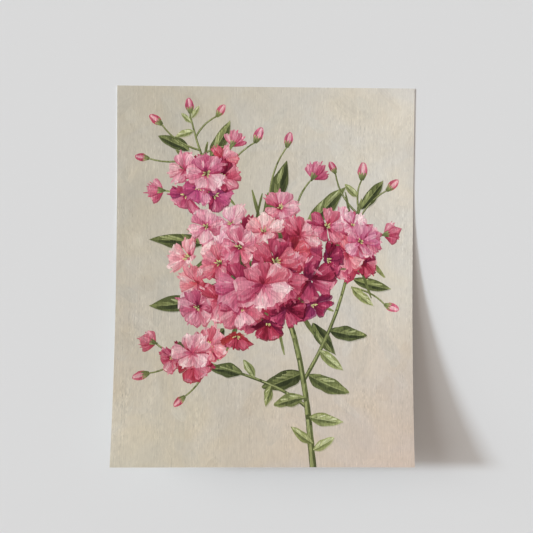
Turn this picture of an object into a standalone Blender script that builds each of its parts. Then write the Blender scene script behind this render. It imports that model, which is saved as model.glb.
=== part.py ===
"""Unframed art print: one cut sheet of heavy fine-art paper, lying face up on its back.

The sheet is flat where it carries its weight and curls up off the surface towards its lower edge.
Metres, +Z up. The picture's top points to +Y and its right side to +X. The origin is on the
surface, under the middle of the sheet's outline as seen from above.
"""
import math

import bpy

# Driving dimensions of the sheet
SHEET_WIDTH = 0.2794
SHEET_LENGTH = 0.3556
PAPER_THICKNESS = 0.0005

# How high the two lower corners stand off the surface
LIFT_LOWER_LEFT = 0.040
LIFT_LOWER_RIGHT = 0.032

# Share of the length, counted from the top edge, at which the paper leaves the surface: early along
# the two sides, later in the band down the middle, which therefore carries the weight
SIDE_LIFT_START = 0.25
MIDDLE_LIFT_START = 0.55

# The band down the middle, from side to side
MIDDLE_BAND_WIDTH = SHEET_WIDTH / 3

# Flat cells across and along the sheet
CELLS_ACROSS = 12
CELLS_ALONG = 20

# Steps used to measure the curled length
MEASURING_STEPS = 400

PAPER_COLOUR = (0.68, 0.62, 0.56, 1.0)
PAPER_ROUGHNESS = 0.85


def curl_share(down, start):
    """Share of the full lift at a place `down` the sheet, 0 at the top edge and 1 at the lower edge."""
    past = max(0.0, down - start) / (1.0 - start)
    return past ** 2


def side_share(across):
    """0 in the band down the middle, 1 at either side edge. `across` runs from -0.5 to 0.5."""
    beyond = abs(across) * SHEET_WIDTH - MIDDLE_BAND_WIDTH / 2
    return max(0.0, beyond / (SHEET_WIDTH / 2 - MIDDLE_BAND_WIDTH / 2)) ** 2


def height(across, down):
    """Height of the sheet's back above the surface."""
    lift = LIFT_LOWER_LEFT + (LIFT_LOWER_RIGHT - LIFT_LOWER_LEFT) * (across + 0.5)
    middle = curl_share(down, MIDDLE_LIFT_START)
    side = curl_share(down, SIDE_LIFT_START)
    return lift * (middle + (side - middle) * side_share(across))


def reach(down):
    """Distance from the top edge as seen from above: a curled length covers less of the surface."""
    mean_lift = (LIFT_LOWER_LEFT + LIFT_LOWER_RIGHT) / 2
    step = down / MEASURING_STEPS
    covered = 0.0
    for i in range(MEASURING_STEPS):
        rise = 0.0
        for start in (SIDE_LIFT_START, MIDDLE_LIFT_START):
            rise += curl_share((i + 1) * step, start) - curl_share(i * step, start)
        covered += math.sqrt((step * SHEET_LENGTH) ** 2 - (mean_lift * rise / 2) ** 2)
    return covered


def clear_scene():
    for found in list(bpy.data.objects):
        bpy.data.objects.remove(found, do_unlink=True)


def paper_material():
    material = bpy.data.materials.new("print_paper")
    material.use_nodes = True
    shader = material.node_tree.nodes["Principled BSDF"]
    shader.inputs["Base Color"].default_value = PAPER_COLOUR
    shader.inputs["Roughness"].default_value = PAPER_ROUGHNESS
    shader.inputs["Metallic"].default_value = 0.0
    return material


def make_sheet(collection):
    """A flat grid bent to the curl, then given its thickness upwards from the back."""
    bpy.ops.mesh.primitive_grid_add(x_subdivisions=CELLS_ACROSS, y_subdivisions=CELLS_ALONG, size=1.0)
    sheet = bpy.context.object
    sheet.name = "print_sheet"
    sheet.data.name = "print_sheet"
    for owner in list(sheet.users_collection):
        owner.objects.unlink(sheet)
    collection.objects.link(sheet)

    top_edge = reach(1.0) / 2
    for vertex in sheet.data.vertices:
        across = vertex.co.x
        down = 0.5 - vertex.co.y
        vertex.co = (across * SHEET_WIDTH, top_edge - reach(down), height(across, down))

    cells = sheet.modifiers.new("cells", "TRIANGULATE")
    cells.quad_method = "FIXED"
    paper = sheet.modifiers.new("paper", "SOLIDIFY")
    paper.thickness = PAPER_THICKNESS
    paper.offset = 1.0
    sheet.data.materials.append(paper_material())
    return sheet


def main():
    clear_scene()
    art_print = bpy.data.collections.new("art_print")
    bpy.context.scene.collection.children.link(art_print)
    make_sheet(art_print)


main()
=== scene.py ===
import math

import bpy
import numpy as np
from mathutils import Matrix, Vector
from mathutils.geometry import delaunay_2d_cdt


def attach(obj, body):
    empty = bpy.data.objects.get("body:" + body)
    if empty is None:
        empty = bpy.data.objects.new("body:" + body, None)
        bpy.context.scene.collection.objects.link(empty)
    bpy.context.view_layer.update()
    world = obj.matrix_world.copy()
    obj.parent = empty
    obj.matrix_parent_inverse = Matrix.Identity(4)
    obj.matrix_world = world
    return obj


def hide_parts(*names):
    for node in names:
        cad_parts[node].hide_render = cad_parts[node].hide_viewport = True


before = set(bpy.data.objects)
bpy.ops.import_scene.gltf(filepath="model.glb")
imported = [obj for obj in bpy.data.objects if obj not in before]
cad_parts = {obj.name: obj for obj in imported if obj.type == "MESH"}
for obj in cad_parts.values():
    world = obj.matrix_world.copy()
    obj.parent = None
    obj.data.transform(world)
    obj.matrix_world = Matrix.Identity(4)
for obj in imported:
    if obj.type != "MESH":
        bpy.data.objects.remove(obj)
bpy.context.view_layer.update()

# An unframed art print lies face up, its lower part curling off the floor. The sheet is one closed
# mesh: a front made of brush strokes, a bare back and a cut rim. The picture is drawn in millimetres
# from the middle of the flat sheet, x to its right and y to its top.

# Size of the flat sheet, in millimetres, and its paper
WIDE = 279.4
TALL = 355.6
PAPER = 0.5

# The curl: heights of the lower corners in millimetres, and where along the sheet the paper leaves
# the floor, at the sides and in the band down the middle
LIFT_LEFT = 40.0
LIFT_RIGHT = 32.0
SIDE_START = 0.25
MIDDLE_START = 0.55
BAND = WIDE / 3

# Slight waves of the loose paper, in millimetres
WAVE_HEIGHT = 0.25
WAVE_LENGTHS = (118.0, 151.0)
WAVE_PHASE = 0.6
WAVE_SLANT = 0.4

# The camera, in millimetres and degrees
CAMERA_AT = (-6.6, 42.5, 863.6)
CAMERA_AIM = (1.77, 7.04, 0.0)
CAMERA_ROLL = 0.524
CAMERA_FIELD = 32.55

MM = 0.001


# The bent sheet

def curl_share(down, start):
    return np.clip((down - start) / (1 - start), 0, None) ** 2


def side_share(across):
    beyond = np.abs(across) * WIDE - BAND / 2
    return np.clip(beyond / (WIDE / 2 - BAND / 2), 0, None) ** 2


def reach_table(steps=400):
    """Distance from the top edge as seen from above, for evenly spaced places along the sheet."""
    down = np.linspace(0, 1, steps + 1)
    rise = np.diff(curl_share(down, SIDE_START) + curl_share(down, MIDDLE_START)) / 2
    covered = np.sqrt((TALL / steps) ** 2 - ((LIFT_LEFT + LIFT_RIGHT) / 2 * rise) ** 2)
    return down, np.concatenate([[0.0], np.cumsum(covered)])


DOWN, REACH = reach_table()


def back_of_sheet(x, y):
    """Where a point of the flat picture lies on the bent sheet's back, in millimetres."""
    across, down = x / WIDE, 0.5 - y / TALL
    lift = LIFT_LEFT + (LIFT_RIGHT - LIFT_LEFT) * (across + 0.5)
    middle, side = curl_share(down, MIDDLE_START), curl_share(down, SIDE_START)
    height = lift * (middle + (side - middle) * side_share(across))
    wave = np.sin(2 * np.pi * x / WAVE_LENGTHS[0] + WAVE_PHASE)
    wave = wave + np.sin(2 * np.pi * (x * WAVE_SLANT + y) / WAVE_LENGTHS[1])
    height = height + WAVE_HEIGHT * (2 + wave) / 2 * np.clip((down - MIDDLE_START) * 4, 0, 1)
    return np.stack([x, REACH[-1] / 2 - np.interp(down, DOWN, REACH), height], axis=-1)


def normal_of_sheet(x, y, step=0.5):
    """Which way the sheet's printed side faces."""
    right = back_of_sheet(x + step, y) - back_of_sheet(x - step, y)
    up = back_of_sheet(x, y + step) - back_of_sheet(x, y - step)
    normal = np.cross(right, up)
    return normal / np.linalg.norm(normal, axis=-1, keepdims=True)


# Colours, given as sRGB values out of 255, from dark to light where there are several

def srgb(*v):
    return np.array(v, float) / 255


def to_linear(c):
    c = np.asarray(c, float)
    return np.where(c <= 0.04045, c / 12.92, ((c + 0.055) / 1.055) ** 2.4)


PETAL_TONES = [srgb(84, 20, 38), srgb(133, 33, 58), srgb(166, 57, 85), srgb(190, 90, 114),
               srgb(206, 125, 143), srgb(218, 155, 166), srgb(229, 185, 190), srgb(240, 212, 211)]
LEAF_TONES = [srgb(50, 56, 38), srgb(84, 91, 58), srgb(120, 127, 80), srgb(156, 162, 109),
              srgb(188, 193, 145), srgb(213, 215, 181)]
COOL_PETAL = srgb(186, 92, 160)
WARM_PETAL = srgb(228, 88, 74)
STAMEN = srgb(232, 212, 150)
GROUND_LEFT = srgb(192, 186, 171)
GROUND_RIGHT = srgb(215, 210, 199)
GROUND_LOW_LEFT = srgb(197, 190, 172)
GROUND_LOW_RIGHT = srgb(203, 187, 174)

# How fast the left tones give way to the right ones, their mix down the middle, how fast the low
# tones come in below the middle, and how strong the painted light and shade are that offset the lamps:
# the ground is painted paler where the sheet turns away from them and darker where it turns to them
GROUND_ACROSS = 1.25
GROUND_MIDDLE = 0.43
GROUND_DOWN = 2.0
GROUND_PAINTED_LIGHT = 0.52

# The picture's own light falls from its upper left and from the front
LIGHT_FROM = math.radians(125)
LIGHT_SLANT = 0.66


def towards_light(x, y):
    """How far a place in the picture lies towards its light."""
    return x * math.cos(LIGHT_FROM) + y * math.sin(LIGHT_FROM)


def ramp(tones, level):
    """The tone at a level from 0, the darkest, to 1, the lightest."""
    level = min(max(level, 0.0), 1.0) * (len(tones) - 1)
    i = min(int(level), len(tones) - 2)
    return tones[i] + (tones[i + 1] - tones[i]) * (level - i)


def leaf_tone(level):
    return ramp(LEAF_TONES, level)


def petal_tone(level, family=0.0):
    """family runs from -1, bluish pink, to 1, warm red."""
    tone = ramp(PETAL_TONES, level)
    if family > 0:
        return tone + (WARM_PETAL - tone) * family * (1.05 - min(level, 1)) * 0.55
    return tone + (COOL_PETAL - tone) * -family * 0.42 * (1.15 - min(level, 1))


def ground_tone(x, y):
    """The bare ground: four tones that run into each other, with painted light and shade against the
    lamps: paler where the sheet turns away from them, darker where it turns towards them.
    """
    right = np.clip(x / WIDE * GROUND_ACROSS + GROUND_MIDDLE, 0, 1)[..., None]
    low = np.clip(-y / TALL * GROUND_DOWN, 0, 1)[..., None]
    left_tone = GROUND_LEFT + (GROUND_LOW_LEFT - GROUND_LEFT) * low
    right_tone = GROUND_RIGHT + (GROUND_LOW_RIGHT - GROUND_RIGHT) * low
    # painted light and shade: paler where the sheet faces away from the lamps on its left, darker where it
    # faces them
    turn = normal_of_sheet(x, y)[..., :1]
    return left_tone + (right_tone - left_tone) * right + GROUND_PAINTED_LIGHT * turn


def bezier(p0, p1, p2, p3, n):
    """n places along the curve from p0 to p3 that the two points between them pull on."""
    t = np.linspace(0, 1, n)[:, None]
    p0, p1, p2, p3 = (np.array(p, float) for p in (p0, p1, p2, p3))
    return p0 * (1 - t) ** 3 + 3 * p1 * t * (1 - t) ** 2 + 3 * p2 * t * t * (1 - t) + p3 * t ** 3


def turned(points, angle, x, y):
    """The points turned by an angle about the origin, then moved to (x, y)."""
    ca, sa = math.cos(angle), math.sin(angle)
    return np.asarray(points, float) @ np.array([[ca, sa], [-sa, ca]]) + (x, y)


class Canvas:
    """Brush strokes in the order in which they are laid down."""

    def __init__(self, seed):
        self.rng = np.random.default_rng(seed)
        self.strokes = []

    def wobble(self, spread):
        return float(self.rng.uniform(-spread, spread))

    def between(self, low, high):
        return float(self.rng.uniform(low, high))

    def lay(self, outline, angle, tail, tip, alpha=1.0, thin=False):
        """One patch of paint; tail and tip are its colours along angle. A thin one counts as ground."""
        points = np.asarray(outline, float)
        after = np.roll(points, -1, axis=0)
        if (points[:, 0] * after[:, 1] - after[:, 0] * points[:, 1]).sum() < 0:
            points = points[::-1]
        self.strokes.append({
            "points": points, "angle": angle, "alpha": alpha, "thin": thin, "seed": self.between(0, 50),
            "tail": np.clip(tail, 0, 1), "tip": np.clip(tip, 0, 1)})

    def dab(self, start, end, width, tail, tip=None, bend=0.0, alpha=1.0, ragged=0.35, thin=False):
        """A brush mark from start to end: round where it starts, worn where the brush lifts off."""
        tip = tail if tip is None else tip
        across, up = end[0] - start[0], end[1] - start[1]
        angle, length = math.atan2(up, across), max(math.hypot(across, up), 0.5)
        n = int(np.clip(length / 3.4, 3, 7))
        low, high = [], []
        for k in range(n):
            s = -0.92 + 1.84 * k / (n - 1)
            half = width / 2 * (1 - abs(s) ** 2.6 * (0.5 if s < 0 else 0.7)) * (1 + self.wobble(0.14))
            off = bend * length * (1 - s * s) / 2
            low.append((s * length / 2, off - half))
            high.append((s * length / 2, off + half * (1 + self.wobble(0.12))))
        fray = ragged * width
        worn = [(length / 2 + self.between(-0.3, 1) * fray * 0.5, -width * 0.16),
                (length / 2 - self.between(0, 0.6) * fray, width * 0.02),
                (length / 2 + self.between(-0.3, 1) * fray * 0.5, width * 0.2)]
        if length < 6:
            worn = worn[:1]
        begin = [(-length / 2 - width * 0.10, 0.0)]
        middle = ((start[0] + end[0]) / 2, (start[1] + end[1]) / 2)
        self.lay(turned(low + worn + high[::-1] + begin, angle, *middle), angle, tail, tip, alpha, thin)

    def loose_dab(self, x, y, angle, length, width, tail, tip=None, **how):
        """A brush mark centred on (x, y)."""
        dx, dy = math.cos(angle) * length / 2, math.sin(angle) * length / 2
        self.dab((x - dx, y - dy), (x + dx, y + dy), width, tail, tip, **how)

    def band(self, path, start_width, end_width, tail, tip, alpha=1.0, shift=0.0):
        """A long stroke that follows a path; shift moves it to the path's left by so many widths."""
        path = np.asarray(path, float)
        ahead = np.gradient(path, axis=0)
        side = np.stack([-ahead[:, 1], ahead[:, 0]], axis=1) / np.linalg.norm(ahead, axis=1)[:, None]
        share = np.linspace(0, 1, len(path))[:, None]
        half = (start_width + (end_width - start_width) * share) / 2
        middle = path + side * half * 2 * shift
        rough = 1 + self.rng.uniform(-0.10, 0.10, (2, len(path), 1))
        outline = np.concatenate([middle + side * half * rough[0], (middle - side * half * rough[1])[::-1]])
        turn = path[-1] - path[0]
        self.lay(outline, math.atan2(turn[1], turn[0]), tail, tip, alpha)

    def blob(self, x, y, rx, ry, angle, tail, tip=None, n=12, rough=0.08, egg=0.0):
        """A round or oval patch; egg makes it fuller towards its tip."""
        points = []
        for k in range(n):
            t = 2 * math.pi * k / n
            q = 1 + self.wobble(rough)
            points.append((rx * math.cos(t) * q, ry * math.sin(t) * q * (1 + egg * math.cos(t))))
        self.lay(turned(points, angle, x, y), angle, tail, tail if tip is None else tip)


# Blossoms

def petal_profile(t):
    """Along and across a petal of length 1 and half width 1, once round as t runs from 0 to 2 pi."""
    up = (1 - math.cos(t)) / 2
    return 0.05 + 0.95 * up ** 0.82, math.sin(t) * (0.34 + 0.80 * up) * 1.21


def petal(cv, at, light, family, size, steps=15):
    """One petal. at(a, v) is where the place a along and v across it falls in the picture."""
    ruffle, phase, notch = cv.between(0.03, 0.09), cv.between(0, 6), cv.between(0.0, 0.16)
    rim = []
    for k in range(steps):
        t = 2 * math.pi * k / steps
        a, v = petal_profile(t)
        a *= 1 - notch * math.exp(-((t - math.pi) / 0.4) ** 2)
        swell = 1 + ruffle * math.sin(4 * t + phase) + cv.wobble(0.05)
        rim.append((a * swell, v * swell))
    foot, end = at(0.05, 0), at(1, 0)
    angle = math.atan2(end[1] - foot[1], end[0] - foot[0])
    left, right = at(0.65, -1), at(0.65, 1)
    wide = math.hypot(right[0] - left[0], right[1] - left[1])
    shade = [at(a * 1.04, v * 1.08) for a, v in rim]
    cv.lay([(x + size * 0.05, y - size * 0.06) for x, y in shade], angle,
           petal_tone(light - 0.40, family), petal_tone(light - 0.30, family), alpha=0.75)
    for k in range(2):
        v = cv.wobble(0.8)
        cv.dab(at(0.7, v * 0.8), at(cv.between(0.98, 1.16), v), wide * cv.between(0.12, 0.24),
               petal_tone(light - 0.2, family), petal_tone(light + cv.wobble(0.12), family), ragged=0.8)
    cv.lay([at(a, v) for a, v in rim], angle, petal_tone(light - 0.25, family), petal_tone(light, family))
    # a broad shadow down the half that turns from the light, a broad light down the other
    lit = 1 if towards_light(*right) > towards_light(*left) else -1
    cv.dab(at(0.16, -lit * 0.25), at(0.90, -lit * cv.between(0.5, 0.7)), wide * cv.between(0.24, 0.36),
           petal_tone(light - 0.29, family), petal_tone(light - cv.between(0.06, 0.16), family), alpha=0.85)
    cv.dab(at(0.30, lit * 0.10), at(0.95, lit * cv.between(0.25, 0.5)), wide * cv.between(0.30, 0.46),
           petal_tone(light - 0.05, family), petal_tone(light + cv.between(0.05, 0.15), family), alpha=0.9)
    for k in range(2):
        v = cv.wobble(0.62)
        tone = light + 0.08 * lit * v + cv.wobble(0.10)
        cv.dab(at(cv.between(0.15, 0.45), v * 0.5), at(cv.between(0.6, 0.92), v),
               wide * cv.between(0.12, 0.24), petal_tone(tone - 0.11, family),
               petal_tone(tone + 0.04, family + cv.wobble(0.3)), alpha=0.85)
    if cv.between(0, 1) < 0.62:
        v, reach = lit * cv.between(-0.1, 0.5), cv.between(0.26, 0.46)
        cv.dab(at(0.95, v - reach), at(0.95, v + reach), size * cv.between(0.09, 0.17),
               petal_tone(light + 0.16, family * 0.5), petal_tone(light + 0.28, family * 0.3), alpha=0.92,
               bend=-lit * 0.12)
    if cv.between(0, 1) < 0.45:
        a, v = cv.between(0.40, 0.62), lit * cv.between(0.1, 0.5)
        cv.dab(at(a, v * 0.8), at(a + cv.between(0.22, 0.36), v), wide * cv.between(0.07, 0.13),
               petal_tone(light + 0.12, family), petal_tone(light + 0.30, 0), alpha=0.9, ragged=0.8)
    cv.dab(at(0.02, 0), at(cv.between(0.32, 0.46), cv.wobble(0.1)), wide * 0.17,
           petal_tone(light - 0.54, family), petal_tone(light - 0.30, family), alpha=0.9)


def blossom(cv, x, y, size, lean, tilt, level, family, petals=5, open_by=0.42, centre=True):
    """An open blossom. Its axis tilts by tilt from the viewer towards lean; petals rise by open_by."""
    turn = cv.between(0, 2 * math.pi)
    cl, sl = math.cos(lean), math.sin(lean)
    ct, st = math.cos(tilt), math.sin(tilt)

    def seen(u, v, z):
        e, s = u * cl + v * sl, v * cl - u * sl
        e = e * ct + z * st
        return x + e * cl - s * sl, y + e * sl + s * cl

    order = []
    for k in range(petals):
        theta = turn + 2 * math.pi * k / petals + cv.wobble(0.13)
        order.append((math.sin(open_by) * ct - math.cos(open_by) * st * math.cos(theta - lean), theta))
    order.sort()
    middle_drawn = not centre
    for height, theta in order:
        if height > 0.85 and not middle_drawn:
            stamens(cv, seen, size, level)
            middle_drawn = True
        length, half = size * (1 + cv.wobble(0.11)), size * 0.44 * (1 + cv.wobble(0.13))
        rise = open_by + cv.wobble(0.14)
        skew = cv.wobble(0.10)

        def at(a, v, theta=theta, length=length, half=half, rise=rise, skew=skew):
            r, across = a * length, v * half * (0.5 + 0.5 * min(a * 1.6, 1)) + skew * a * a * length
            z = r * math.sin(rise) * (1.25 - 0.45 * a)
            u = r * math.cos(rise) * math.cos(theta) - across * math.sin(theta)
            w = r * math.cos(rise) * math.sin(theta) + across * math.cos(theta)
            return seen(u, w, z)

        # how squarely the petal's inner side meets the light
        inward = (-math.sin(rise) * math.cos(theta - lean), -math.sin(rise) * math.sin(theta - lean),
                  math.cos(rise))
        tipped = (inward[0] * ct + inward[2] * st, inward[1], inward[2] * ct - inward[0] * st)
        towards = (LIGHT_SLANT * math.cos(LIGHT_FROM - lean), LIGHT_SLANT * math.sin(LIGHT_FROM - lean),
                   math.sqrt(1 - LIGHT_SLANT ** 2))
        facing = sum(a * b for a, b in zip(tipped, towards))
        petal(cv, at, level + 0.42 * (facing - 0.62) + cv.wobble(0.11), family + cv.wobble(0.35), size)
    if not middle_drawn:
        stamens(cv, seen, size, level)


def stamens(cv, seen, size, level):
    """The dark throat of a blossom and the pale stamens round it."""
    cx, cy = seen(0, 0, size * 0.06)
    cv.blob(cx, cy, size * 0.13, size * 0.11, 0.3, petal_tone(level - 0.6, 0.3), leaf_tone(0.2),
            n=8, rough=0.2)
    for k in range(6):
        t = k * 2.4 + cv.wobble(0.5)
        reach = size * cv.between(0.10, 0.24)
        foot = seen(reach * 0.3 * math.cos(t), reach * 0.3 * math.sin(t), size * 0.08)
        tip = seen(reach * math.cos(t), reach * math.sin(t), size * 0.20)
        cv.dab(foot, tip, size * 0.065, leaf_tone(cv.between(0.4, 0.75)), STAMEN)


def side_blossom(cv, x, y, angle, size, level, family):
    """A half-open blossom seen from the side: three petals fan out of a green cup at (x, y)."""
    for spread, share in ((0.58, 0.86), (-0.58, 0.86), (0.04, 1.0)):
        theta = angle + spread + cv.wobble(0.08)
        length, half = size * share * 1.22, size * 0.40

        def at(a, v, theta=theta, length=length, half=half):
            r, across = a * length, v * half
            return (x + r * math.cos(theta) - across * math.sin(theta),
                    y + r * math.sin(theta) + across * math.cos(theta))

        petal(cv, at, level + 0.12 * math.cos(theta - LIGHT_FROM), family, size)
    for spread in (-0.5, 0.5, 0.0):
        t = angle + spread
        cv.loose_dab(x + size * 0.16 * math.cos(t), y + size * 0.16 * math.sin(t), angle + spread * 0.8,
                     size * 0.6, size * 0.2, leaf_tone(0.22 + cv.wobble(0.06)),
                     leaf_tone(0.52 + spread * 0.3))


def bud(cv, x, y, angle, size, level, family=0.0):
    """A closed bud that grows from (x, y)."""
    def at(a, v):
        return (x + size * (a * math.cos(angle) - v * math.sin(angle)),
                y + size * (a * math.sin(angle) + v * math.cos(angle)))

    cv.blob(*at(1.2, 0), size, size * 0.62, angle, petal_tone(level - 0.28, family),
            petal_tone(level - 0.06, family), egg=-0.2, n=16, rough=0.05)
    for v, tone in ((0.30, -0.14), (-0.28, 0.12), (0.02, 0.26)):
        cv.dab(at(0.5, v * 0.8), at(2.05, v * 0.4), size * 0.36, petal_tone(level + tone - 0.1, family),
               petal_tone(level + tone + 0.1, family), alpha=0.9)
    for v in (-0.42, 0.42, 0.0):
        cv.dab(at(-0.1, v * 0.3), at(0.92, v), size * 0.34, leaf_tone(0.26 + cv.wobble(0.08)),
               leaf_tone(0.55 + v * 0.3))


# Leaves and stems

def leaf(cv, x, y, angle, length, width, level=0.45, bend=0.0):
    """A pointed leaf that grows from (x, y): a soft dark edge, its body, veins and a rib."""
    def at(k, v):
        a = k * length
        b = v * width / 2 * math.sin(math.pi * min(k, 1) ** 0.85) ** 0.8 + bend * length * k * k
        return x + a * math.cos(angle) - b * math.sin(angle), y + a * math.sin(angle) + b * math.cos(angle)

    level += cv.wobble(0.06)
    places = np.linspace(0.04, 0.97, 13)
    sides = []
    for v in (1, -1):
        waves = np.interp(places, (0, 0.2, 0.4, 0.6, 0.8, 1), [cv.wobble(0.17) for k in range(6)])
        sides.append([at(k, v + wave) for k, wave in zip(places, waves)])
    outline = [at(0, 0)] + sides[0] + [at(1 + cv.wobble(0.04), 0)] + sides[1][::-1]
    below = [(px + 0.7, py - 0.9) for px, py in outline]
    cv.lay(below, angle, leaf_tone(level - 0.3), leaf_tone(level - 0.2), 0.22)
    cv.lay(outline, angle, leaf_tone(level - 0.16), leaf_tone(level - 0.02))
    lit = 1 if math.cos(angle + math.pi / 2 - LIGHT_FROM) > 0 else -1
    # long strokes down the dark half, shorter ones that follow the veins down the lit half
    for k in range(3):
        a, v = 0.05 + 0.24 * k, -lit * cv.between(0.25, 0.75)
        cv.dab(at(a, v * 0.5), at(a + cv.between(0.3, 0.42), v), width * cv.between(0.24, 0.36),
               leaf_tone(level - cv.between(0.26, 0.4)), leaf_tone(level - cv.between(0.1, 0.24)),
               alpha=0.9)
    for k in range(6):
        a, v = 0.06 + 0.14 * k + cv.wobble(0.04), lit * cv.between(0.4, 0.85)
        cv.dab(at(a, 0.05 * lit), at(a + cv.between(0.14, 0.26), v), width * cv.between(0.16, 0.30),
               leaf_tone(level + cv.between(-0.06, 0.12)), leaf_tone(level + cv.between(0.02, 0.30)),
               alpha=0.9, ragged=0.5)
    for k in range(2):
        a = cv.between(0.15, 0.6)
        cv.dab(at(a, lit * 0.2), at(a + cv.between(0.16, 0.3), lit * cv.between(0.5, 0.8)), width * 0.12,
               leaf_tone(level + 0.24), leaf_tone(level + 0.46), alpha=0.85, ragged=0.6)
    rib = [at(k, cv.wobble(0.06)) for k in (0.0, 0.2, 0.4, 0.6, 0.8)]
    cv.band(rib, width * 0.09, width * 0.05, leaf_tone(level + 0.10), leaf_tone(level + 0.26), alpha=0.75)


def stem(cv, path, wide, narrow, level=0.4):
    """Long strokes along a path, and shorter ones along its lit side."""
    path = np.asarray(path, float)
    steps = np.linalg.norm(np.diff(path, axis=0), axis=1)
    reach = np.concatenate([[0], np.cumsum(steps)])

    def part(start, end):
        places = np.linspace(max(start, 0), min(end, reach[-1]), 8)
        return np.stack([np.interp(places, reach, axis) for axis in path.T], axis=1)

    def width_at(place):
        return wide + (narrow - wide) * min(place / reach[-1], 1)

    place = 0.0
    while place < reach[-1] - 2:
        far = place + cv.between(34, 56)
        cv.band(part(place - 3, far), width_at(place), width_at(far),
                leaf_tone(level - 0.24 + cv.wobble(0.06)), leaf_tone(level - 0.12 + cv.wobble(0.06)))
        place = far
    place = 0.0
    while place < reach[-1] - 4:
        far = place + cv.between(10, 26)
        piece = part(place, far)
        ahead = piece[-1] - piece[0]
        side = 1 if towards_light(-ahead[1], ahead[0]) > 0 else -1
        cv.band(piece, width_at(place) * 0.5, width_at(far) * cv.between(0.25, 0.45),
                leaf_tone(level + cv.between(0.0, 0.2)), leaf_tone(level + cv.between(0.1, 0.36)),
                alpha=0.88, shift=side * 0.32)
        place = far + cv.between(-2, 5)


def stalk(cv, a, b, width, level=0.45, sag=0.12):
    """A thin bowed stem from a to b."""
    a, b = np.array(a, float), np.array(b, float)
    along = b - a
    side = np.array([-along[1], along[0]]) * sag
    stem(cv, bezier(a, a + along * 0.35 + side, a + along * 0.7 + side, b, 10), width, width * 0.7, level)


# The picture

def ground_strokes(cv, count=150):
    """Thin broad strokes that leave the ground a little uneven, some warmer and some cooler."""
    for k in range(count):
        x, y = cv.wobble(WIDE / 2), cv.wobble(TALL / 2)
        tone = ground_tone(np.array(x), np.array(y)) + cv.wobble(0.042)
        tone = tone + cv.wobble(0.014) * np.array([1, 0, -1])
        cv.loose_dab(x, y, math.pi / 2 + cv.wobble(0.9), cv.between(14, 44), cv.between(6, 17), tone,
                     alpha=0.4, bend=cv.wobble(0.10), ragged=0.7, thin=True)


def under_painting(cv, x, y, spread_x, spread_y, count):
    """Dark loose strokes that knit a cluster together."""
    for k in range(count):
        t, q = cv.between(0, 2 * math.pi), cv.between(0, 0.80) ** 0.5
        px, py = x + q * spread_x * math.cos(t), y + q * spread_y * math.sin(t)
        if k % 5:
            low = petal_tone(cv.between(0.04, 0.28), cv.wobble(0.6))
            high = petal_tone(cv.between(0.14, 0.46), 0)
        else:
            low = leaf_tone(cv.between(0.0, 0.3))
            high = leaf_tone(cv.between(0.2, 0.6))
        cv.loose_dab(px, py, t + cv.wobble(0.9), cv.between(10, 19), cv.between(5, 11), low, high,
                     alpha=0.94)


def cluster(cv, x, y, spread_x, spread_y, count, size, level, family):
    """Blossoms over a dome: the outer ones face outwards and are painted first."""
    def place(q, t):
        return x + q * spread_x * math.cos(t), y + q * spread_y * math.sin(t)

    under_painting(cv, x, y, spread_x, spread_y, int(count * 7))
    for k in range(int(count * 0.6)):
        t = cv.between(0, 2 * math.pi)
        cv.dab(place(0.80, t), place(1 + size / spread_x * cv.between(0.55, 0.95), t + cv.wobble(0.12)),
               cv.between(2.4, 4.2), leaf_tone(cv.between(0.1, 0.3)), leaf_tone(cv.between(0.3, 0.65)))
    golden = math.pi * (3 - math.sqrt(5))
    start = cv.between(0, 6)
    for k in reversed(range(count)):
        q = math.sqrt((k + 0.35) / count)
        t = start + golden * k + cv.wobble(0.22)
        px, py = place(q, t)
        lit = 0.18 * q * math.cos(t - LIGHT_FROM)
        blossom(cv, px + cv.wobble(size * 0.22), py + cv.wobble(size * 0.22),
                size * (1.06 - 0.14 * q + cv.wobble(0.16)), t + cv.wobble(0.6),
                0.95 * q ** 1.3 + cv.between(0, 0.3), level + lit + 0.04 * (1 - q) + cv.wobble(0.15),
                family + cv.wobble(0.6), open_by=cv.between(0.28, 0.66), centre=cv.between(0, 1) < 0.7)
    # a few single strokes over the petals
    for k in range(int(count * 0.6)):
        t = cv.between(0, 2 * math.pi)
        tone = level + 0.18 * math.cos(t - LIGHT_FROM) + cv.wobble(0.2)
        px, py = place(cv.between(0.3, 0.95), t)
        cv.loose_dab(px, py, t + cv.wobble(0.8), cv.between(5, 10), cv.between(1.6, 3.4),
                     petal_tone(tone - 0.1, family), petal_tone(tone + 0.16, family),
                     alpha=0.9, ragged=0.8)


# Stems: four points of a curve from the foot up, the number of points along it, the width at its
# foot and at its tip, and the tone, in the order in which they are painted
STEMS = (
    ((41, -124), (14, -100), (-24, -92), (-76, -76), 24, 3.4, 2.0, 0.40),
    ((38, -98), (60, -60), (80, -20), (88, 66), 24, 3.8, 2.2, 0.42),
    ((46, -182), (40, -100), (34, -20), (-34, 62), 24, 6.2, 3.8, 0.42),
    ((-34, 62), (-50, 88), (-62, 112), (-70, 146), 12, 3.2, 1.6, 0.50),
)

# Leaves: the foot, the direction in degrees, length and width, tone and bend. Those at the back are
# painted before the stems and blossoms, those in front after them.
BACK_LEAVES = (
    (37, -91, 206, 42, 16, 0.30, -0.10),
    (42, -93, -30, 42, 16, 0.34, 0.12),
    (-20, -92, 166, 32, 13, 0.30, 0.10),
    (62, -51, -14, 36, 14, 0.32, 0.12),
    (8, 60, 82, 50, 16, 0.34, -0.10),
    (40, 46, 52, 52, 16, 0.34, -0.08),
    (-64, -24, 192, 44, 15, 0.30, -0.10),
    (-58, 30, 170, 50, 15, 0.36, 0.10),
    (84, -2, -20, 36, 12, 0.34, 0.10),
    (-52, 112, 56, 38, 13, 0.40, 0.10),
    (-72, 118, 150, 32, 12, 0.36, 0.10),
    (90, 64, 52, 34, 12, 0.36, 0.0),
    (46, -44, -60, 36, 13, 0.26, 0.10),
    (-38, -50, 228, 34, 13, 0.28, 0.10),
)
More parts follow.
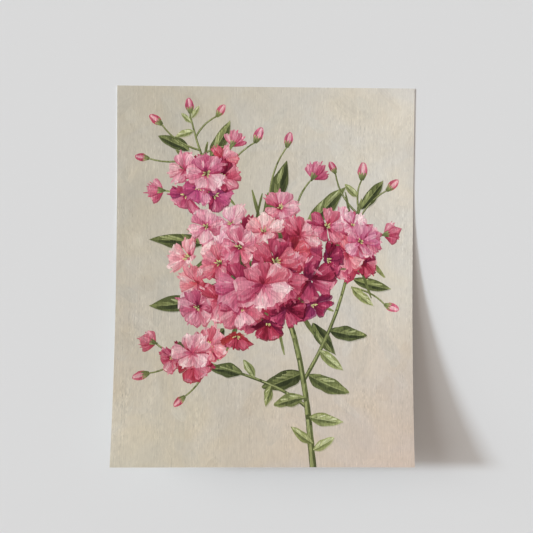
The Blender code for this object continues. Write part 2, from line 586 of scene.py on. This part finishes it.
FRONT_LEAVES = (
    (38, -114, 188, 30, 12, 0.52, 0.12),
    (43, -132, -14, 31, 12, 0.56, 0.10),
    (53, -70, -46, 28, 10, 0.56, 0.10),
    (46, -156, 150, 25, 9, 0.56, -0.10),
    (46, -162, 24, 23, 9, 0.62, 0.10),
    (-68, 136, 192, 18, 7, 0.66, 0.10),
    (-70, 148, 58, 14, 5, 0.70, 0.0),
    (-70, 144, 138, 13, 5, 0.62, 0.0),
    (87, 76, 136, 17, 7, 0.62, 0.0),
    (83, -10, -46, 26, 9, 0.60, 0.10),
    (7, -103, 250, 20, 8, 0.56, 0.10),
    (-9, -96, 116, 20, 8, 0.58, 0.10),
)

# Buds and side blossoms: the foot of the stalk on its stem, where the bud or blossom starts, its
# direction in degrees, size, tone and family; then the widths of their stalks
BUDS = (
    ((-70, 146), -71, 153, 98, 6.5, 0.55, -0.2),
    ((-66, 130), -46, 150, 58, 6.0, 0.60, 0.0),
    ((-62, 118), -98, 142, 142, 6.5, 0.55, 0.2),
    ((-44, 84), -10, 126, 66, 7.0, 0.60, -0.2),
    ((88, 66), 91, 92, 86, 7.5, 0.65, 0.0),
    ((87, 50), 115, 82, 44, 6.5, 0.60, 0.2),
    ((87, 60), 66, 98, 118, 5.5, 0.50, -0.2),
    ((-76, -76), -108, -92, 196, 7.0, 0.60, 0.2),
    ((-54, -85), -74, -114, 222, 6.0, 0.55, 0.3),
    ((82, -10), 114, -26, 340, 6.5, 0.60, 0.0),
    ((4, 60), 20, 122, 78, 6.5, 0.60, -0.3),
    ((-66, 112), -110, 110, 172, 6.0, 0.5, 0.0),
)
SIDE_BLOSSOMS = (
    ((-50, 88), -96, 80, 176, 13.5, 0.52, -0.1),
    ((87, 36), 112, 40, 12, 13, 0.58, 0.1),
    ((-72, -76), -102, -64, 160, 13, 0.5, 0.3),
    ((28, 56), 44, 92, 62, 14, 0.50, -0.3),
    ((-62, 112), -32, 122, 70, 13, 0.56, 0.0),
)
BUD_STALK = 2.0
SIDE_STALK = 2.2

# Heads of blossoms: the middle, the reach to each side, up and down, the number and the size of the
# blossoms, tone and family. The main head comes last.
HEADS = (
    (-66, -74, 22, 13, 4, 18, 0.53, 0.2),
    (84, 28, 18, 30, 7, 18, 0.56, -0.1),
    (-56, 92, 27, 23, 7, 19.5, 0.59, -0.2),
    (-4, 2, 65, 61, 21, 22.5, 0.585, 0.05),
)

# Single blossoms at the rim of the main head: the place, size, the direction they face in degrees,
# their tilt, tone and family
OUTER_BLOSSOMS = (
    (58, 47, 19, 40, 0.55, 0.56, 0.1),
    (-62, -30, 19, 205, 0.60, 0.62, -0.1),
    (-55, 46, 18, 150, 0.60, 0.66, -0.2),
    (14, 64, 18, 80, 0.65, 0.62, 0.0),
)


def picture(seed=7):
    """One branching stem with a main head of blossoms, three smaller ones, buds and leaves."""
    cv = Canvas(seed)
    ground_strokes(cv)
    rad = math.radians
    for x, y, a, length, width, level, bend in BACK_LEAVES:
        leaf(cv, x, y, rad(a), length, width, level, bend)
    for *points, count, wide, narrow, level in STEMS:
        stem(cv, bezier(*points, count), wide, narrow, level)
    for foot, x, y, a, size, level, family in BUDS:
        stalk(cv, foot, (x, y), BUD_STALK)
        bud(cv, x, y, rad(a), size, level, family)
    for foot, x, y, a, size, level, family in SIDE_BLOSSOMS:
        stalk(cv, foot, (x, y), SIDE_STALK)
        side_blossom(cv, x, y, rad(a), size, level, family)
    for head in HEADS:
        cluster(cv, *head)
    for x, y, a, length, width, level, bend in FRONT_LEAVES:
        leaf(cv, x, y, rad(a), length, width, level, bend)
    for x, y, size, facing, tilt, level, family in OUTER_BLOSSOMS:
        blossom(cv, x, y, size, rad(facing), tilt, level, family)
    return cv


# From strokes to a mesh

# Fold lines of the sheet, across it and along it, how near to each other two points become one, and
# from which difference in tone an edge between two pieces of paint shows
ROWS = 44
COLUMNS = 20
SNAP = 0.02
SHOWS = 0.02

# Share of the unit square that the front takes in the map, from side to side, and the margins
FRONT_SHARE = 0.78
BACK_SHARE = 0.19
MAP_MARGIN = 0.003


def fold_lines(start):
    """The ends of the lines along which the sheet bends, and the edges between them."""
    ends, edges = [], []
    for k in range(1, ROWS):
        y = -TALL / 2 + TALL * k / ROWS
        ends += [(-WIDE / 2, y), (WIDE / 2, y)]
        edges.append((start + len(ends) - 2, start + len(ends) - 1))
    for k in range(1, COLUMNS):
        x = -WIDE / 2 + WIDE * k / COLUMNS
        ends += [(x, -TALL / 2), (x, TALL / 2)]
        edges.append((start + len(ends) - 2, start + len(ends) - 1))
    return ends, edges


def cut(points, edges):
    """The sheet cut into triangles along all these edges: its points and triangles."""
    found = delaunay_2d_cdt([Vector(p) for p in points], edges, [], 0, SNAP, False)
    flat, triangles = np.array(found[0]), np.array(found[2])
    middle = np.abs(flat[triangles].mean(axis=1))
    triangles = triangles[(middle[:, 0] < WIDE / 2) & (middle[:, 1] < TALL / 2)]
    used, triangles = np.unique(triangles, return_inverse=True)
    return flat[used], triangles.reshape(-1, 3)


def seams(triangles, colour, brush):
    """The edges between triangles whose paint differs visibly or belongs to different strokes."""
    ends, paint, stroke = [], [], []
    for a, b in ((0, 1), (1, 2), (2, 0)):
        forward = (triangles[:, a] < triangles[:, b])[:, None]
        ends.append(np.where(forward, triangles[:, [a, b]], triangles[:, [b, a]]))
        paint.append(np.where(forward[..., None], colour[:, [a, b]], colour[:, [b, a]]))
        stroke.append(brush[:, 0, 2])
    ends, paint, stroke = np.concatenate(ends), np.concatenate(paint), np.concatenate(stroke)
    order = np.lexsort((ends[:, 1], ends[:, 0]))
    ends, paint, stroke = ends[order], paint[order], stroke[order]
    shared = (ends[1:] == ends[:-1]).all(axis=1)
    differs = (np.abs(paint[1:] - paint[:-1]).max(axis=(1, 2)) > SHOWS) | (stroke[1:] != stroke[:-1])
    return ends[1:][shared & differs]


def front_map(strokes):
    """The flat sheet cut along the fold lines and along every stroke edge that shows."""
    corners = [(-WIDE / 2, -TALL / 2), (WIDE / 2, -TALL / 2), (WIDE / 2, TALL / 2), (-WIDE / 2, TALL / 2)]
    border = [(0, 1), (1, 2), (2, 3), (3, 0)]
    points, edges = list(corners), list(border)
    for stroke in strokes:
        first, count = len(points), len(stroke["points"])
        points += stroke["points"].tolist()
        edges += [(first + k, first + (k + 1) % count) for k in range(count)]
    flat, triangles = cut(points, edges)
    used, kept = np.unique(seams(triangles, *paint_front(flat, triangles, strokes)), return_inverse=True)
    points = corners + flat[used].tolist()
    ends, folds = fold_lines(len(points))
    return cut(points + ends, border + (kept.reshape(-1, 2) + len(corners)).tolist() + folds)


def outer_loop(triangles):
    """The points along the outer edge of a map of triangles, counter-clockwise."""
    edges = np.concatenate([triangles[:, [0, 1]], triangles[:, [1, 2]], triangles[:, [2, 0]]])
    size = edges.max() + 1
    forward, backward = edges[:, 0] * size + edges[:, 1], edges[:, 1] * size + edges[:, 0]
    following = {int(a): int(b) for a, b in edges[~np.isin(forward, backward)]}
    loop = [next(iter(following))]
    while following[loop[-1]] != loop[0]:
        loop.append(following[loop[-1]])
    return loop


def back_map(edge_points):
    """Triangles inside the edge. The first points are the edge's own, in their order."""
    count = len(edge_points)
    ends, edges = fold_lines(count)
    points = [tuple(p) for p in edge_points] + ends
    border = [(k, (k + 1) % count) for k in range(count)]
    found = delaunay_2d_cdt([Vector(p) for p in points], edges + border, [], 0, SNAP, True)
    flat, triangles = np.array(found[0]), np.array(found[2])
    inner = [k for k, sources in enumerate(found[3]) if not any(s < count for s in sources)]
    number = np.zeros(len(flat), int)
    for k, sources in enumerate(found[3]):
        own = [s for s in sources if s < count]
        number[k] = own[0] if own else count + inner.index(k)
    middle = np.abs(flat[triangles].mean(axis=1))
    on_sheet = (middle[:, 0] < WIDE / 2) & (middle[:, 1] < TALL / 2)
    return np.concatenate([edge_points, flat[inner]]), number[triangles[on_sheet]]


def inside(outline, places):
    """Which places lie inside a closed outline, by how often it winds round them."""
    a, b = outline, np.roll(outline, -1, axis=0)
    x, y = places[:, :1], places[:, 1:]
    side = (b[:, 0] - a[:, 0]) * (y - a[:, 1]) - (x - a[:, 0]) * (b[:, 1] - a[:, 1])
    up = (a[:, 1] <= y) & (b[:, 1] > y) & (side > 0)
    down = (a[:, 1] > y) & (b[:, 1] <= y) & (side < 0)
    return up.sum(axis=1) != down.sum(axis=1)


def paint_front(flat, triangles, strokes):
    """Lays the strokes over each other in their order.

    Returns the colour of every corner, with how bare the ground is there as its fourth value, and
    every corner's place in its topmost stroke: along it, across it, and the stroke's own number."""
    corners = flat[triangles]
    middle = corners.mean(axis=1)
    order = np.argsort(middle[:, 0])
    sorted_x = middle[order, 0]
    tone = ground_tone(corners[..., 0], corners[..., 1])
    bare = np.ones(corners.shape[:2])
    brush = np.concatenate([corners[..., ::-1], np.zeros(corners.shape[:2] + (1,))], axis=-1)
    for stroke in strokes:
        outline = stroke["points"]
        low, high = outline.min(axis=0), outline.max(axis=0)
        found = order[np.searchsorted(sorted_x, low[0]):np.searchsorted(sorted_x, high[0])]
        found = found[(middle[found, 1] > low[1]) & (middle[found, 1] < high[1])]
        found = found[inside(outline, middle[found])]
        along = np.array([math.cos(stroke["angle"]), math.sin(stroke["angle"])])
        across = np.array([-along[1], along[0]])
        ends = outline @ along
        places = corners[found] @ along
        share = np.clip((places - ends.min()) / max(np.ptp(ends), 0.1), 0, 1)[..., None]
        paint = stroke["tail"] + (stroke["tip"] - stroke["tail"]) * share
        tone[found] += (paint - tone[found]) * stroke["alpha"]
        if not stroke["thin"]:
            bare[found] *= 1 - stroke["alpha"]
        seed = np.full(places.shape, stroke["seed"])
        brush[found] = np.stack([places, corners[found] @ across, seed], axis=-1)
    return np.concatenate([np.clip(tone, 0, 1), bare[..., None]], axis=-1), brush


def make_sheet(strokes, materials):
    """The bent sheet as one closed mesh: front, back and the cut rim between them."""
    flat, front = front_map(strokes)
    loop = outer_loop(front)
    back_flat, back = back_map(flat[loop])
    places = back_of_sheet(flat[:, 0], flat[:, 1])
    front_places = places + PAPER * normal_of_sheet(flat[:, 0], flat[:, 1])
    back_places = back_of_sheet(back_flat[:, 0], back_flat[:, 1])
    first = len(flat)
    ring = np.arange(len(loop))
    after = np.roll(ring, -1)
    loop = np.array(loop)
    rim = np.stack([first + ring, first + after, loop[after], loop[ring]], axis=-1)
    faces = front.tolist() + (first + back[:, ::-1]).tolist() + rim.tolist()

    mesh = bpy.data.meshes.new("print_paper_sheet")
    mesh.from_pydata((np.concatenate([front_places, back_places]) * MM).tolist(), [], faces)
    kind = np.repeat([0, 1, 2], [len(front), len(back), len(rim)])
    mesh.polygons.foreach_set("material_index", kind)
    for material in materials:
        mesh.materials.append(material)

    # paint and brush coordinates on the corners of the front; bare paper elsewhere
    colour, brush = paint_front(flat, front, strokes)
    colour[..., :3] = to_linear(colour[..., :3])
    rest = len(mesh.loops) - front.size
    colour = np.concatenate([colour.reshape(-1, 4), np.ones((rest, 4))])
    brush = np.concatenate([brush.reshape(-1, 3), np.zeros((rest, 3))])
    mesh.color_attributes.new("paint", "FLOAT_COLOR", "CORNER").data.foreach_set("color", colour.ravel())
    mesh.attributes.new("brush", "FLOAT_VECTOR", "CORNER").data.foreach_set("vector", brush.ravel())
    all_flat = np.concatenate([flat, back_flat])
    all_flat = np.concatenate([all_flat, np.zeros((len(all_flat), 1))], axis=1)
    mesh.attributes.new("flat_mm", "FLOAT_VECTOR", "POINT").data.foreach_set("vector", all_flat.ravel())

    # the map: the front on the left, the back beside it, the rim in a strip along the edge
    corner_of = np.zeros(len(mesh.loops), int)
    mesh.loops.foreach_get("vertex_index", corner_of)
    part = np.repeat(kind, [len(f) for f in faces])
    x, y = all_flat[corner_of, 0] / WIDE + 0.5, all_flat[corner_of, 1] / TALL + 0.5
    room = 1 - 2 * MAP_MARGIN
    u = np.where(part == 0, MAP_MARGIN + x * FRONT_SHARE, MAP_MARGIN * 4 + FRONT_SHARE + x * BACK_SHARE)
    strip = 1 - MAP_MARGIN * 4
    u = np.where(part == 2, strip + np.where(corner_of < first, 2 * MAP_MARGIN, 0), u)
    v = MAP_MARGIN + y * room
    uv = mesh.uv_layers.new(name="OFBake")
    uv.data.foreach_set("uv", np.stack([u, v], axis=-1).ravel())

    mesh.update()
    mesh.validate()
    mesh.polygons.foreach_set("use_smooth", np.ones(len(faces), bool))
    mesh.set_sharp_from_angle(angle=math.radians(40))
    sheet = bpy.data.objects.new("print_paper_sheet", mesh)
    bpy.context.scene.collection.objects.link(sheet)
    return sheet


# Materials

# The colour sockets of a Mix node
MIX_A, MIX_B, MIX_RESULT = 6, 7, 2

BACK_PAPER = srgb(236, 232, 223)
CUT_EDGE = srgb(240, 237, 230)
FLOOR_TONE = 0.70


def grey(value):
    """The same value in red, green and blue."""
    return (value, value, value)


class Surface:
    """A material under construction."""

    def __init__(self, name, roughness, specular):
        self.material = bpy.data.materials.new(name)
        self.material.use_nodes = True
        self.tree = self.material.node_tree
        self.shader = self.tree.nodes["Principled BSDF"]
        self.shader.inputs["Roughness"].default_value = roughness
        self.shader.inputs["Specular IOR Level"].default_value = specular
        self.flat = self.attribute("flat_mm").outputs["Vector"]

    def link(self, source, target):
        self.tree.links.new(source, target)

    def attribute(self, name):
        node = self.tree.nodes.new("ShaderNodeAttribute")
        node.attribute_name = name
        return node

    def scaled(self, source, x, y, z=1.0):
        node = self.tree.nodes.new("ShaderNodeMapping")
        node.inputs["Scale"].default_value = (x, y, z)
        self.link(source, node.inputs["Vector"])
        return node.outputs["Vector"]

    def noise(self, source, scale=1.0, detail=2.0, roughness=0.5, distortion=0.0):
        node = self.tree.nodes.new("ShaderNodeTexNoise")
        node.inputs["Scale"].default_value = scale
        node.inputs["Detail"].default_value = detail
        node.inputs["Roughness"].default_value = roughness
        node.inputs["Distortion"].default_value = distortion
        self.link(source, node.inputs["Vector"])
        return node.outputs["Fac"]

    def spread(self, source, low, high, near=0.3, far=0.7):
        """Maps near..far of the source to low..high."""
        node = self.tree.nodes.new("ShaderNodeMapRange")
        for name, value in (("From Min", near), ("From Max", far), ("To Min", low), ("To Max", high)):
            node.inputs[name].default_value = value
        self.link(source, node.inputs["Value"])
        return node.outputs["Result"]

    def joined(self, operation, a, b):
        node = self.tree.nodes.new("ShaderNodeMath")
        node.operation = operation
        self.link(a, node.inputs[0])
        if isinstance(b, float):
            node.inputs[1].default_value = b
        else:
            self.link(b, node.inputs[1])
        return node.outputs["Value"]

    def times(self, a, b):
        return self.joined("MULTIPLY", a, b)

    def plus(self, a, b):
        return self.joined("ADD", a, b)

    def blend(self, factor, dark, light):
        """A colour that runs from dark to light as the factor runs from 0 to 1."""
        node = self.tree.nodes.new("ShaderNodeMix")
        node.data_type = "RGBA"
        node.inputs[MIX_A].default_value = (*dark, 1)
        node.inputs[MIX_B].default_value = (*light, 1)
        self.link(factor, node.inputs["Factor"])
        return node.outputs[MIX_RESULT]

    def tinted(self, colour, factor, dark, light):
        """The colour multiplied by such a blend."""
        node = self.tree.nodes.new("ShaderNodeMix")
        node.data_type = "RGBA"
        node.blend_type = "MULTIPLY"
        node.inputs["Factor"].default_value = 1.0
        self.link(colour, node.inputs[MIX_A])
        self.link(self.blend(factor, dark, light), node.inputs[MIX_B])
        return node.outputs[MIX_RESULT]

    def bump(self, height, distance, strength=1.0):
        node = self.tree.nodes.new("ShaderNodeBump")
        node.inputs["Distance"].default_value = distance
        node.inputs["Strength"].default_value = strength
        self.link(height, node.inputs["Height"])
        self.link(node.outputs["Normal"], self.shader.inputs["Normal"])


def printed_front():
    """Matte print: brush marks in each stroke, warm and cool clouds, fine upright threads and grain."""
    s = Surface("print_front", 0.86, 0.0)
    paint = s.attribute("paint")
    bare = paint.outputs["Alpha"]
    brush = s.attribute("brush").outputs["Vector"]
    # bristle marks and the load of paint along the strokes, much weaker where the ground lies bare
    bristles = s.spread(s.noise(s.scaled(brush, 0.11, 0.80, 0.37), detail=2.0), -1, 1)
    bristles = s.times(bristles, s.spread(bare, 0.5, 0.09, 0, 1))
    colour = s.tinted(paint.outputs["Color"], s.plus(bristles, 0.5),
                      (0.80, 0.77, 0.79), (1.17, 1.18, 1.17))
    load = s.spread(s.noise(s.scaled(brush, 0.16, 0.28, 0.37), detail=1.0), -1, 1)
    load = s.times(load, s.spread(bare, 0.5, 0.15, 0, 1))
    colour = s.tinted(colour, s.plus(load, 0.5), grey(0.91), grey(1.08))
    # slow changes of tone and of warmth
    clouds = s.noise(s.scaled(s.flat, 0.022, 0.015), detail=4.0, roughness=0.6, distortion=0.6)
    clouds = s.spread(clouds, 0, 1)
    colour = s.tinted(colour, clouds, grey(0.94), grey(1.045))
    warmth = s.spread(s.noise(s.scaled(s.flat, 0.016, 0.020, 1.0), detail=3.0, distortion=1.0), 0, 1)
    colour = s.tinted(colour, warmth, (0.985, 1.0, 1.025), (1.025, 1.0, 0.94))
    # upright canvas threads, printed with the picture: broken, stronger in places and under paint
    upright = s.spread(s.noise(s.scaled(s.flat, 0.95, 0.012), detail=1.0), -1, 1)
    broken = s.spread(s.noise(s.scaled(s.flat, 0.90, 0.21), detail=2.0, roughness=0.6), -1.0, 1.55)
    places = s.spread(s.noise(s.scaled(s.flat, 0.040, 0.030), detail=2.0), 0.25, 0.75)
    threads = s.times(s.times(s.times(upright, broken), places), s.spread(bare, 2.7, 0.60, 0, 1))
    threads = s.plus(threads, 0.5)
    colour = s.tinted(colour, threads, grey(0.76), grey(1.24))
    grain = s.noise(s.flat, scale=1.3, detail=2.0)
    colour = s.tinted(colour, s.spread(grain, 0, 1), grey(0.982), grey(1.018))
    s.link(colour, s.shader.inputs["Base Color"])
    s.bump(s.plus(s.times(threads, 0.6), s.times(grain, 0.7)), 0.00005, 0.5)
    s.link(s.spread(grain, 0.80, 0.92), s.shader.inputs["Roughness"])
    return s.material


def bare_back():
    """Uncoated paper: soft clouds in the pulp, short fibres and a fine tooth."""
    s = Surface("print_back", 0.9, 0.2)
    clouds = s.spread(s.noise(s.flat, scale=0.09, detail=4.0, roughness=0.6), 0, 1)
    colour = s.blend(clouds, to_linear(BACK_PAPER) * 0.95, to_linear(BACK_PAPER) * 1.02)
    fibres = s.spread(s.noise(s.scaled(s.flat, 0.9, 0.25), detail=3.0, distortion=1.6), 0, 1, 0.60, 0.72)
    colour = s.tinted(colour, fibres, grey(1.0), (0.93, 0.92, 0.90))
    tooth = s.noise(s.flat, scale=1.1, detail=3.0)
    colour = s.tinted(colour, s.spread(tooth, 0, 1), grey(0.98), grey(1.02))
    s.link(colour, s.shader.inputs["Base Color"])
    s.bump(tooth, 0.00008, 0.7)
    s.link(s.spread(tooth, 0.84, 0.95), s.shader.inputs["Roughness"])
    return s.material


def cut_rim():
    """The white pulp of the cut edge, a little rough where the blade went through."""
    s = Surface("print_edge", 0.92, 0.15)
    fluff = s.noise(s.flat, scale=0.8, detail=3.0)
    colour = s.blend(s.spread(fluff, 0, 1), to_linear(CUT_EDGE) * 0.93, to_linear(CUT_EDGE))
    s.link(colour, s.shader.inputs["Base Color"])
    s.bump(fluff, 0.00005, 0.6)
    return s.material


# Floor, light and camera

# The floor's size in metres, and how far it lies below the sheet, so that their faces never coincide
FLOOR_SIZE = 60.0
FLOOR_DROP = 0.0001

# What each light gives a floor that faces straight up, and for the lamps, in degrees, their angle from
# straight above, how far they stand from the picture's left towards its top, and their own radius
FILL_TONE = (0.425, 0.365, 0.323)
BROAD_TONE = (0.225, 0.235, 0.235)
BROAD_ANGLE = 62.0
BROAD_TURN = 9.0
BROAD_RADIUS = 20.0
KEY_TONE = (0.32, 0.365, 0.405)
KEY_ANGLE = 67.6
KEY_TURN = 5.0
KEY_RADIUS = 4.0

# The height on the unit sphere from which the fill has its full tone
FILL_FROM = 0.5


def make_floor():
    bpy.ops.mesh.primitive_plane_add(size=FLOOR_SIZE, location=(0, 0, -FLOOR_DROP))
    floor = bpy.context.object
    floor.name = "studio_floor"
    material = bpy.data.materials.new("studio_floor")
    material.use_nodes = True
    shader = material.node_tree.nodes["Principled BSDF"]
    shader.inputs["Base Color"].default_value = (FLOOR_TONE, FLOOR_TONE, FLOOR_TONE, 1)
    shader.inputs["Roughness"].default_value = 0.9
    shader.inputs["Specular IOR Level"].default_value = 0.0
    floor.data.materials.append(material)
    return floor


def add_lamp(name, tone, angle, turn, radius):
    """A far round lamp on the picture's left that gives a level floor this tone."""
    slant = math.radians(angle)
    lamp = bpy.data.lights.new(name, "SUN")
    lamp.angle = math.radians(2 * radius)
    lamp.energy = math.pi / math.cos(slant)
    lamp.color = tone
    holder = bpy.data.objects.new(name, lamp)
    holder.rotation_euler = (0, -slant, -math.radians(turn))
    bpy.context.scene.collection.objects.link(holder)


def fill_studio():
    """A warm even light from above that turns into the floor's own pale tone towards the horizon."""
    world = bpy.data.worlds.new("studio")
    world.use_nodes = True
    nodes, links = world.node_tree.nodes, world.node_tree.links
    split = nodes.new("ShaderNodeSeparateXYZ")
    links.new(nodes.new("ShaderNodeTexCoord").outputs["Generated"], split.inputs["Vector"])
    rise = nodes.new("ShaderNodeMapRange")
    rise.inputs["From Max"].default_value = FILL_FROM
    links.new(split.outputs["Z"], rise.inputs["Value"])
    tone = nodes.new("ShaderNodeMix")
    tone.data_type = "RGBA"
    tone.inputs[MIX_A].default_value = (FLOOR_TONE, FLOOR_TONE, FLOOR_TONE, 1)
    tone.inputs[MIX_B].default_value = (*FILL_TONE, 1)
    links.new(rise.outputs["Result"], tone.inputs["Factor"])
    links.new(tone.outputs[MIX_RESULT], nodes["Background"].inputs["Color"])
    bpy.context.scene.world = world


def light_studio():
    """The fill, and a cooler key with a broad soft light round it."""
    fill_studio()
    add_lamp("key", KEY_TONE, KEY_ANGLE, KEY_TURN, KEY_RADIUS)
    add_lamp("broad", BROAD_TONE, BROAD_ANGLE, BROAD_TURN, BROAD_RADIUS)


def make_camera():
    """The camera looks down on the sheet, slightly from its top and turned by a small roll."""
    place, aim = Vector(CAMERA_AT) * MM, Vector(CAMERA_AIM) * MM
    forward = (aim - place).normalized()
    right = forward.cross(Vector((0, 1, 0))).normalized()
    up = right.cross(forward)
    axes = Matrix((right, up, -forward)).transposed()
    camera = bpy.data.objects.new("camera", bpy.data.cameras.new("camera"))
    roll = Matrix.Rotation(math.radians(CAMERA_ROLL), 4, "Z")
    camera.matrix_world = Matrix.Translation(place) @ axes.to_4x4() @ roll
    camera.data.sensor_width = 36.0
    camera.data.lens = camera.data.sensor_width / 2 / math.tan(math.radians(CAMERA_FIELD) / 2)
    bpy.context.scene.collection.objects.link(camera)
    bpy.context.scene.camera = camera


def main():
    bpy.context.scene.view_settings.view_transform = "Standard"
    sheet = make_sheet(picture().strokes, [printed_front(), bare_back(), cut_rim()])
    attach(sheet, "root")
    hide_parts("print_sheet")
    make_floor()
    light_studio()
    make_camera()


main()
